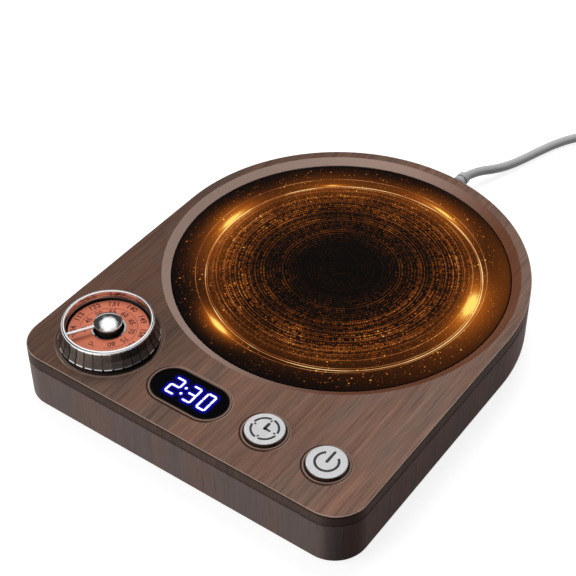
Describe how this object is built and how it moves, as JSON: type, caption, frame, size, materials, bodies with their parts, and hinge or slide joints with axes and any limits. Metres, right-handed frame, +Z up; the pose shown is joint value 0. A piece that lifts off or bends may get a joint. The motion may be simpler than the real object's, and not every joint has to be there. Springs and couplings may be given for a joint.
{
  "type": "electric mug warmer",
  "caption": "Flat mug warmer with a round back, a sunk glass plate, a fluted dial over a scale, a display window, push buttons and a cord with its plug.",
  "frame": {"origin": "on the table under the middle of the body, measured without the cord and its plug", "axes": "+Z up, +Y from the straight front to the round back, +X to the right as the user faces the front"},
  "size_m": [0.1607, 0.24, 0.03],
  "materials": {
    "wood_shell": "wood-grain film on moulded plastic, satin",
    "black_glass": "black ceramic glass with a printed amber pattern",
    "chrome_dial": "bright plating",
    "copper_scale": "satin copper-coloured anodising",
    "satin_cap": "fine satin",
    "black_plastic": "fine matt",
    "window": "smoked, polished",
    "rim": "polished brown",
    "grey_cord": "satin sheath",
    "cord_tie": "plain band",
    "foot_rubber": "matt",
    "blade_metal": "plated",
    "steel": "pressed and zinc plated",
    "screw_steel": "plated",
    "silicone": "moulded",
    "spreader": "rolled",
    "foil": "etched",
    "mica": "pressed sheet",
    "fibre_pad": "felted",
    "board": "laminate with a solder mask",
    "component": "moulded",
    "film_case": "moulded case",
    "can": "drawn can",
    "fuse_glass": "plain",
    "terminal": "moulded",
    "light_guide": "translucent",
    "lead_sheath": "silicone sheath"
  },
  "bodies": {
    "housing": {"top_cover": "wood_shell", "lower_housing": "wood_shell", "rubber_feet": "foot_rubber", "housing_screws": "screw_steel", "heater_glass": "black_glass", "glass_gasket": "silicone", "heat_spreader": "spreader", "heating_element": "foil", "mica_sheet": "mica", "insulation_pad": "fibre_pad", "heater_bracket": "steel", "bracket_screws": "screw_steel", "temperature_sensor": "can", "sensor_holder": "silicone", "thermal_fuse": "fuse_glass", "heater_leads": "lead_sheath", "sensor_leads": "lead_sheath", "mains_leads": "lead_sheath", "control_board": "board", "control_board_screws": "screw_steel", "display_module": "light_guide", "display_lens": "window", "display_trim": "rim", "power_board": "board", "power_board_screws": "screw_steel", "terminal_block": "terminal", "triac": "component", "film_capacitor": "film_case", "reservoir_capacitor": "can", "mains_fuse": "fuse_glass", "board_header": "component", "dial_seat": "black_plastic", "dial_face": "copper_scale", "encoder_body": "component", "encoder_nut": "steel", "strain_relief": "grey_cord", "inner_cord": "grey_cord", "cord_clamp": "black_plastic", "clamp_screws": "screw_steel", "power_cord": "grey_cord", "cord_coil": "grey_cord", "coil_tie": "cord_tie", "cord_tail": "grey_cord", "plug_body": "grey_cord", "plug_blades": "blade_metal", "timer_trim": "rim", "timer_switch": "component", "power_trim": "rim", "power_switch": "component"},
    "dial": {"knob_ring": "chrome_dial", "pointer_arm": "chrome_dial", "hub_cap": "chrome_dial", "dial_shaft": "black_plastic"},
    "timer_key": {"timer_button": "satin_cap", "timer_stem": "black_plastic", "timer_actuator": "black_plastic"},
    "power_key": {"power_button": "satin_cap", "power_stem": "black_plastic", "power_actuator": "black_plastic"}
  },
  "joints": [
    {"name": "dial_turn", "type": "hinge", "parent": "housing", "child": "dial", "pos_m": [-0.0395, -0.0564, 0.0216], "axis": [0, 0, 1], "range_deg": [-281.7, 0]},
    {"name": "timer_press", "type": "slide", "parent": "housing", "child": "timer_key", "axis": [0, 0, -1], "range_m": [0, 0.0006], "stiffness_N_per_m": 1500},
    {"name": "power_press", "type": "slide", "parent": "housing", "child": "power_key", "axis": [0, 0, -1], "range_m": [0, 0.0006], "stiffness_N_per_m": 1500}
  ]
}
